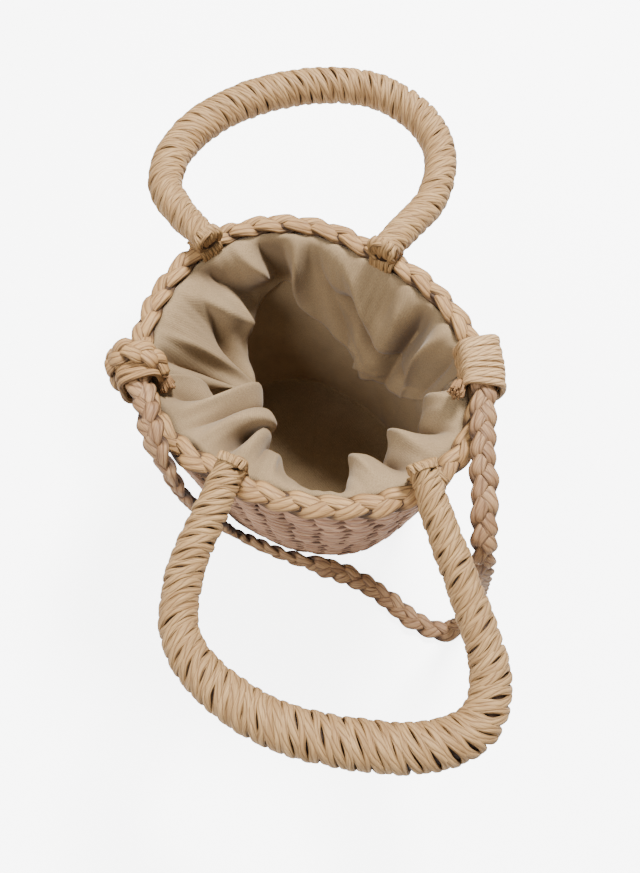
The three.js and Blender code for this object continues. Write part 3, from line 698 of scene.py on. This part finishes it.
def stitches(path, atStart, seed):
    # threads laid over the end of a handle and down inside the rim
    parts = []
    draw = np.random.default_rng(seed)
    end = 0 if atStart else -1
    tip, beyond = path["points"][end], path["points"][4 if atStart else -5]
    into = unit((tip - beyond) * [1, 1, 0])
    across = np.cross([0, 0, 1.0], into)
    radius = path["radius"][end]
    for k in range(sewLook["threads"]):
        side = (k - 2) / 2.3 * radius
        top = math.sqrt(max(0.0, 1 - (side / (radius * 1.25)) ** 2)) * radius
        jitter = draw.uniform(-sewLook["stray"], sewLook["stray"], 6)
        rows = [tip - into * 0.0035 + across * (side * 0.8 + jitter[0]) + [0, 0, top * 0.96],
                tip - into * 0.0010 + across * (side * 0.9 + jitter[1]) + [0, 0, top],
                tip + into * 0.0010 + across * (side * 0.95 + jitter[2]) + [0, 0, top * 0.7],
                tip + into * 0.0012 + across * (side * 0.97 + jitter[3]) + [0, 0, 0.001],
                tip - into * 0.0010 + across * (side * 0.9 + jitter[4]) + [0, 0, -0.005]]
        curve = throughPoints(rows, 5)
        faces = np.tile([into * 0.5 + np.array([0, 0, 1.0])], (len(curve), 1))
        parts.append(tube(curve, faces, sewLook["threadWidth"], sewLook["threadThick"], 10, start=k * 0.4))
    return parts


def makeLashing(name, turn, path, atStart, seed):
    arc = arcPath(turn, sewLook["length"], 0.0)
    cord = winding(arc, boxed(*sewLook["box"]), sewLook, seed)
    return pieceOf(name, [cord] + stitches(path, atStart, seed))


for name, turn, path, atStart, seed in (
        ("lashing_back_left", 130, backPath, True, 201), ("lashing_back_right", 54.5, backPath, False, 211),
        ("lashing_front_left", 241.5, frontPath, True, 221),
        ("lashing_front_right", 309.7, frontPath, False, 231)):
    done(makeLashing(name + "_thread", turn, path, atStart, seed), handleStraw, "sewing_cord", name)
print("roots sewn")


# Bindings of the strap: turns of cord on the right, the strap's end knotted over on the left
bindLook = {"pitch": 0.0031, "width": 0.0036, "thick": 0.0030, "steps": 32, "sides": 12, "loose": 0.12,
            "lean": 0.0006, "rough": 0.0003, "lift": 0.00365, "box": (0.0103, 0.0112), "knotBox": (0.0106, 0.0112)}
rightArc = arcPath(354, 0.0275, bindLook["lift"])
rightCord = [winding(rightArc, boxed(*bindLook["box"]), bindLook, 301)]
done(pieceOf("binding_right_cord", rightCord), cordStraw, "binding_cord", "strap_binding_right")


def brush(middle, direction, length, spread, count, seed, thick=0.0011):
    # frayed cut end: a bundle of short splayed fibres
    draw = np.random.default_rng(seed)
    direction = unit(np.array(direction, float))
    side = unit(np.cross(direction, [0.3, 0.2, 1.0]))
    up = np.cross(side, direction)
    parts = []
    for k in range(count):
        angle, reach = draw.uniform(0, 2 * np.pi), spread * math.sqrt(draw.uniform(0, 1))
        off = (side * math.cos(angle) + up * math.sin(angle)) * reach
        flare = off * draw.uniform(0.0, 0.25)
        size = length * draw.uniform(0.75, 1.15)
        rows = [middle + off * 0.8, middle + off + direction * size * 0.5,
                middle + off + flare + direction * size]
        curve = throughPoints(rows, 3)
        parts.append(tube(curve, np.tile([up], (len(curve), 1)), thick, thick, 5, start=k * 0.2))
    return parts


done(pieceOf("tail_right_cut", brush(
    np.array([0.0803, -0.0215, 0.1725]), (-0.35, -0.8, 0.25), 0.0080, 0.0036, 90, 401)),
    cutStraw, "straw_strap", "strap_tail_right")

# Rows: angle round the rim's section, push outward in metres, and turn along the rim from the knot's middle
knotLook = {"width": 0.0150, "strand": 0.0076, "thick": 0.0036, "lift": 0.0016, "period": 0.031,
            "sides": 12, "slack": 1.8, "turn": 185.0, "box": (0.0118, 0.0122, 3.0), "height": 0.0036}
knotRows = [(-110, 0.0, 6.0), (-60, 0.0004, 5.0), (-20, 0.0012, 2.8), (25, 0.0020, 0.4),
            (65, 0.0024, -0.8), (100, 0.0024, -0.4), (135, 0.0020, 2.0), (165, 0.0014, 5.4)]


def knotPath():
    points, faces = [], []
    for degrees, push, lap in knotRows:
        angle = math.radians(degrees)
        turn = knotLook["turn"] + lap
        out = at(turn, 1.0, 0.0)
        reach = float(boxed(*knotLook["box"])(0, np.array(angle))) + push
        facing = out * math.cos(angle) + np.array([0, 0, math.sin(angle)])
        points.append(at(turn, float(rimRadius(turn)), bag["rimHeight"] + knotLook["height"]) + facing * reach)
        faces.append(facing)
    curve = throughPoints(np.hstack([points, faces]))
    return evenly(curve[:, :3], curve[:, 3:], 0.0012)


knot = braid(knotPath(), knotLook, 61)
leftArc = arcPath(190.5, 0.0115, bindLook["lift"])
knot.append(winding(leftArc, boxed(*bindLook["knotBox"]), dict(bindLook, loose=0.2), 311))
done(pieceOf("binding_left_knot", knot), goldStraw, "binding_cord", "strap_binding_left")
done(pieceOf("tail_left_cut", brush(
    np.array([-0.0765, -0.0150, 0.1660]), (0.25, -0.55, -0.6), 0.0065, 0.0042, 90, 411)),
    cutStraw, "straw_strap", "strap_tail_left")
print("strap bound")


# Cloth: collars folded in from the rim and a lining down inside
clothLook = {"thickness": 0.0011, "collarDepth": 0.086, "rise": 0.0002, "columns": 260, "rows": 40,
             "underRim": 0.0071, "besideLining": 0.0065, "clearance": 0.0012, "hemWave": 0.0035,
             "tuckOut": 0.0032, "tuckDown": 0.0020, "tuckLength": 0.04, "gathers": 0.0007, "gatherWaves": 75,
             "folds": 1.9, "ripples": 0.0044, "fullValleyShade": 0.005, "aboveRim": 0.0025}


def clothPiece(name, grid, uvGrid, foldShade, closed=False):
    columns, rows = grid.shape[:2]
    mesh = bpy.data.meshes.new(name)
    wide = columns if closed else columns - 1
    i, j = np.meshgrid(np.arange(wide), np.arange(rows - 1), indexing="ij")
    i, j = i.ravel(), j.ravel()
    k = (i + 1) % columns
    faces = np.stack([i * rows + j, k * rows + j, k * rows + j + 1, i * rows + j + 1], axis=1)
    mesh.from_pydata(grid.reshape(-1, 3).tolist(), [], faces.tolist())
    layer = mesh.uv_layers.new(name="cloth")
    uv = np.stack([uvGrid[i, j], uvGrid[i + 1, j], uvGrid[i + 1, j + 1], uvGrid[i, j + 1]], axis=1)
    layer.data.foreach_set("uv", uv.astype(np.float32).ravel())
    mesh.attributes.new("foldShade", "FLOAT", "POINT").data.foreach_set("value", foldShade.astype(np.float32).ravel())
    mesh.polygons.foreach_set("use_smooth", [True] * len(mesh.polygons))
    piece = bpy.data.objects.new(name, mesh)
    bpy.context.collection.objects.link(piece)
    return piece


def solidified(piece, thickness):
    bpy.ops.object.select_all(action="DESELECT")
    bpy.context.view_layer.objects.active = piece
    piece.select_set(True)
    wall = piece.modifiers.new("cloth wall", "SOLIDIFY")
    wall.thickness = thickness
    wall.offset = 0
    bpy.ops.object.modifier_apply(modifier=wall.name)
    piece.select_set(False)


# Folds of the collars. Rows: turn, hang, hem and belly, as in the solid
backFolds = [
    (-5, 0.5, 0.1, 0.05), (5, 0.78, 0.14, 0.06), (14, 0.96, 0.12, 0.06), (22, 1, 0.19, 0.08),
    (36, 1, 0.23, 0.12), (52, 0.96, 0.17, 0.12), (70, 0.9, 0.14, 0.08), (86, 0.78, 0.1, 0.05),
    (98, 0.52, 0.02, 0.02), (108, 0.55, 0.04, 0.04), (118, 0.63, 0.12, 0.1), (130, 0.68, 0.27, 0.12),
    (146, 0.7, 0.38, 0.14), (160, 0.68, 0.54, 0.1), (172, 0.63, 0.5, 0.08), (181, 0.52, 0.26, 0.06)]
frontFolds = [
    (181, 0.46, 0.08, 0.1), (190, 0.5, 0.14, 0.2), (199, 0.54, 0.24, 0.34), (212, 0.55, 0.3, 0.42),
    (222, 0.54, 0.27, 0.4), (231, 0.5, 0.16, 0.26), (241, 0.48, 0.17, 0.25), (252, 0.46, 0.15, 0.2),
    (262, 0.44, 0.06, 0.1), (272, 0.44, 0.05, 0.03), (282, 0.44, 0.05, 0.03), (290, 0.45, 0.11, 0.14),
    (303, 0.47, 0.16, 0.24), (317, 0.48, 0.15, 0.23), (332, 0.48, 0.14, 0.21), (343, 0.46, 0.1, 0.14),
    (355, 0.44, 0.05, 0.05)]

# Creases. Rows: turn and share of the hang at the start and at the end, height (in mm) and width (in mm)
backCreases = [
    (150, 0.02, 128, 0.95, 5.0, 8), (170, 0.05, 160, 0.9, 4.0, 6), (138, 0.0, 118, 0.75, -5.5, 6),
    (122, 0.0, 108, 0.7, 5.5, 6), (110, 0.0, 100, 0.9, -7.0, 5), (95, 0.0, 92, 1.0, 7.5, 5),
    (84, 0.3, 66, 0.9, -2.5, 7), (78, 0.0, 34, 0.55, 5.0, 13), (64, 0.5, 20, 0.8, -8.0, 10),
    (40, 0.0, 30, 0.4, 3.0, 8), (24, 0.1, 24, 1.0, -7.0, 5), (12, 0.05, 13, 1.0, 7.0, 6),
    (2, 0.2, 4, 1.0, -3.0, 4), (178, 0.1, 174, 0.9, -4.0, 4), (146, 0.4, 158, 1.0, -4.5, 5),
    (130, 0.5, 140, 1.0, 3.0, 4), (58, 0.85, 30, 0.9, 3.0, 6)]
frontCreases = [
    (188, 0.0, 191, 1.0, 4.0, 5), (196, 0.0, 204, 1.0, -6.5, 4), (205, 0.0, 214, 1.0, 5.5, 5),
    (214, 0.0, 222, 1.0, -5.0, 3.5), (222, 0.0, 229, 1.0, 4.5, 5), (231, 0.0, 236, 1.0, -5.5, 4),
    (238, 0.0, 240, 1.0, 4.0, 5), (246, 0.0, 244, 1.0, -3.5, 4),
    (254, 0.0, 252, 1.0, 3.0, 5), (283, 0.0, 286, 1.0, -2.0, 4), (296, 0.0, 299, 1.0, 4.0, 6),
    (309, 0.05, 306, 1.0, -5.5, 4.5), (318, 0.0, 321, 1.0, 4.5, 6), (330, 0.05, 327, 1.0, -4.5, 4.5),
    (342, 0.0, 343, 1.0, 3.5, 5)]


def creased(turns, down, creases):
    # how far the cloth stands in, in metres, by its fold lines
    push = np.zeros_like(turns)
    for turnA, downA, turnB, downB, height, width in creases:
        share = np.clip((down - downA) / (downB - downA), 0, 1)
        middle = turnA + (turnB - turnA) * share
        off = (turns - middle) * math.radians(1) * 0.07 / (width * 0.001)
        strength = np.sin(np.pi * np.clip(0.28 + 0.62 * (down - downA) / (downB - downA), 0, 1))
        push += height * 0.001 * np.exp(-np.abs(off) ** 1.35) * strength
    return push


def ripple(turns, down, seed):
    # small uneven waves of soft cloth
    draw = np.random.default_rng(seed)
    total = np.zeros_like(turns)
    for k in range(14):
        waves, slant = draw.uniform(4, 22), draw.uniform(-5, 5)
        total += np.sin(np.radians(turns) * waves + slant * down + draw.uniform(0, 6.28)) / (waves ** 0.8)
    return total


def makeCollar(name, folds, creases, first, last, seed):
    columns, rows = clothLook["columns"], clothLook["rows"]
    table = np.array(folds)
    turns = np.linspace(first, last, columns)[:, None] * np.ones((1, rows))
    down = np.ones((columns, 1)) * np.linspace(0, 1, rows)[None, :]
    hang = clothLook["collarDepth"] * follow(table[:, 0], table[:, 1], turns)
    hem = bag["mouthRadius"] * follow(table[:, 0], table[:, 2], turns)
    belly = bag["mouthRadius"] * follow(table[:, 0], table[:, 3], turns)
    z = bag["rimHeight"] + clothLook["rise"] - hang * down
    underRim = rimRadius(turns) - clothLook["underRim"]
    besideLining = wallRadius(turns, z) - clothLook["besideLining"]
    against = np.minimum(underRim, besideLining) - clothLook["clearance"]
    ease = np.sin(np.pi * np.clip(down * 1.3, 0, 0.5)) ** 0.8
    inward = hem * down ** 2 + belly * np.sin(np.pi * down)
    z = z + clothLook["hemWave"] * ripple(turns, down * 0.3, seed + 1) * down
    tucked = np.exp(-down / clothLook["tuckLength"])
    outside = clothLook["tuckOut"] * tucked
    grid = at(turns, against - inward + outside, z - clothLook["tuckDown"] * tucked)
    # the folds stand off the cloth's own surface
    out = np.cross(np.gradient(grid, axis=0), np.gradient(grid, axis=1))
    out = unit(out) * -np.sign(np.sum(out * grid * [1, 1, 0]))
    gathers = clothLook["gathers"] * np.sin(np.radians(turns) * clothLook["gatherWaves"] + 6 * down)
    gathers = gathers * np.exp(-down / 0.2)
    push = (clothLook["folds"] * creased(turns, down, creases)
            + clothLook["ripples"] * ripple(turns, down, seed) + gathers) * ease
    grid = grid + out * push[..., None]
    reach = np.hypot(grid[..., 0], grid[..., 1])
    grid[..., :2] *= np.minimum(1, (against + outside) / reach)[..., None]
    grid[..., 2] = np.minimum(grid[..., 2], bag["rimHeight"] + clothLook["aboveRim"])
    across = np.zeros((columns, rows))
    across[1:] = np.cumsum(np.linalg.norm(np.diff(grid, axis=0), axis=2).mean(axis=1))[:, None]
    fall = np.zeros((columns, rows))
    fall[:, 1:] = np.cumsum(np.linalg.norm(np.diff(grid, axis=1), axis=2), axis=1)
    # painted shade: the deeper a fold's valley, the darker it is painted
    valleyShade = np.clip(-push / clothLook["fullValleyShade"], 0, 1)
    piece = clothPiece(name, grid, np.stack([across, fall], axis=2), valleyShade)
    size = (float(across[-1, 0]), float(fall[:, -1].mean()))
    solidified(piece, clothLook["thickness"])
    return piece, size


collarBack, backSize = makeCollar("collar_back_cloth", backFolds, backCreases, -5.4, 187.4, 501)
done(collarBack, twill, "twill_cloth", "collar_back")
collarFront, frontSize = makeCollar("collar_front_cloth", frontFolds, frontCreases, 188.6, 353.4, 511)
done(collarFront, twill, "twill_cloth", "collar_front")


liningLook = {"floor": 0.0075, "low": 0.0085, "high": 0.1575, "tall": 0.149, "inset": 0.0062, "floorWave": 0.0006,
              "sag": 0.0016, "mapRadius": 0.078, "mapOffset": 0.2, "columns": 200, "floorRows": 18, "wallRows": 30}


def makeLining():
    columns, floorRows, wallRows = (liningLook[key] for key in ("columns", "floorRows", "wallRows"))
    turns = np.linspace(0, 360, columns, endpoint=False)[:, None]
    floorShare = np.linspace(0.02, 1, floorRows)[None, :]
    edge = wallRadius(turns, liningLook["floor"]) - liningLook["inset"]
    floorWaves = ripple(turns + 0 * floorShare, floorShare * 2, 521)
    floorZ = liningLook["floor"] + liningLook["floorWave"] * floorWaves * floorShare
    floorRadius = edge * floorShare
    heights = np.linspace(liningLook["low"], liningLook["high"], wallRows)[None, :]
    share = (heights - liningLook["low"]) / liningLook["tall"]
    waves = ripple(turns + 0 * heights, heights * 30, 531)
    sag = (liningLook["sag"] + liningLook["sag"] * waves) * np.sin(np.pi * share) ** 0.7
    wallR = wallRadius(turns, heights) - liningLook["inset"] - np.maximum(sag, 0)
    radius = np.concatenate([floorRadius, wallR], axis=1)
    z = np.concatenate([floorZ, heights + 0 * turns], axis=1)
    grid = at(turns + 0 * radius, radius, z)
    wrapped = np.vstack([grid, grid[:1]])
    turnsWrapped = np.vstack([turns, [[360]]]) + 0 * wrapped[..., 0]
    onWall = np.zeros(floorRows + wallRows)
    onWall[floorRows:] = 1
    flat = wrapped[..., :2]
    rolled = np.stack([np.radians(turnsWrapped) * liningLook["mapRadius"],
                       wrapped[..., 2] + liningLook["mapOffset"]], axis=2)
    uv = flat * (1 - onWall)[None, :, None] + rolled * onWall[None, :, None]
    piece = clothPiece("lining_cloth", grid, uv, np.zeros(grid.shape[:2]), closed=True)
    mesh = piece.data
    bottom = [i * (floorRows + wallRows) for i in range(columns)]
    bpy.context.view_layer.objects.active = piece
    bpy.ops.object.select_all(action="DESELECT")
    piece.select_set(True)
    bpy.ops.object.mode_set(mode="EDIT")
    bpy.ops.mesh.select_all(action="DESELECT")
    bpy.ops.object.mode_set(mode="OBJECT")
    for index in bottom:
        mesh.vertices[index].select = True
    bpy.ops.object.mode_set(mode="EDIT")
    bpy.ops.mesh.select_mode(type="VERT")
    bpy.ops.mesh.edge_face_add()
    bpy.ops.mesh.select_all(action="SELECT")
    bpy.ops.mesh.normals_make_consistent(inside=True)
    bpy.ops.object.mode_set(mode="OBJECT")
    solidified(piece, clothLook["thickness"])
    return piece


lining = done(makeLining(), twill, "twill_cloth", "lining")
print("cloth hung")


# Floor, light and surroundings
stage = {"size": 6.0, "colour": (0.90, 0.90, 0.90), "sky": 0.40, "key": 13, "fill": 4.4, "glow": 5.4,
         "keyPlace": (0.42, 0.62, 1.32), "keySize": 0.4, "fillPlace": (-0.75, -0.6, 1.15), "fillSize": 0.7,
         "aim": (0, 0, 0.08)}

bpy.ops.mesh.primitive_plane_add(size=stage["size"], location=(0, 0, -0.0005))
floor = bpy.context.object
floor.name = "floor"
floorMaterial, floorTree, floorShader = newMaterial("paleFloor")
floorShader.inputs["Base Color"].default_value = (*stage["colour"], 1)
floorShader.inputs["Roughness"].default_value = 0.9
floorShader.inputs["Specular IOR Level"].default_value = 0.1
# the floor glows a little for the camera alone, as a lit white sweep does
rays = floorTree.nodes.new("ShaderNodeLightPath")
floorTree.links.new(math2(floorTree, "MULTIPLY", rays.outputs["Is Camera Ray"], stage["glow"]),
                    floorShader.inputs["Emission Strength"])
floorShader.inputs["Emission Color"].default_value = (1, 1, 1, 1)
floor.data.materials.append(floorMaterial)


def softLight(name, place, size, power):
    bpy.ops.object.light_add(type="AREA", location=place)
    light = bpy.context.object
    light.name = name
    light.data.shape = "DISK"
    light.data.size = size
    light.data.energy = power
    light.rotation_euler = (Vector(stage["aim"]) - Vector(place)).to_track_quat("-Z", "Y").to_euler()


softLight("key", stage["keyPlace"], stage["keySize"], stage["key"] * 4)
softLight("fill", stage["fillPlace"], stage["fillSize"], stage["fill"] * 4)

world = bpy.data.worlds.new("studio")
bpy.context.scene.world = world
world.use_nodes = True
world.node_tree.nodes["Background"].inputs["Color"].default_value = (1, 1, 1, 1)
world.node_tree.nodes["Background"].inputs["Strength"].default_value = stage["sky"]
print("stage lit")
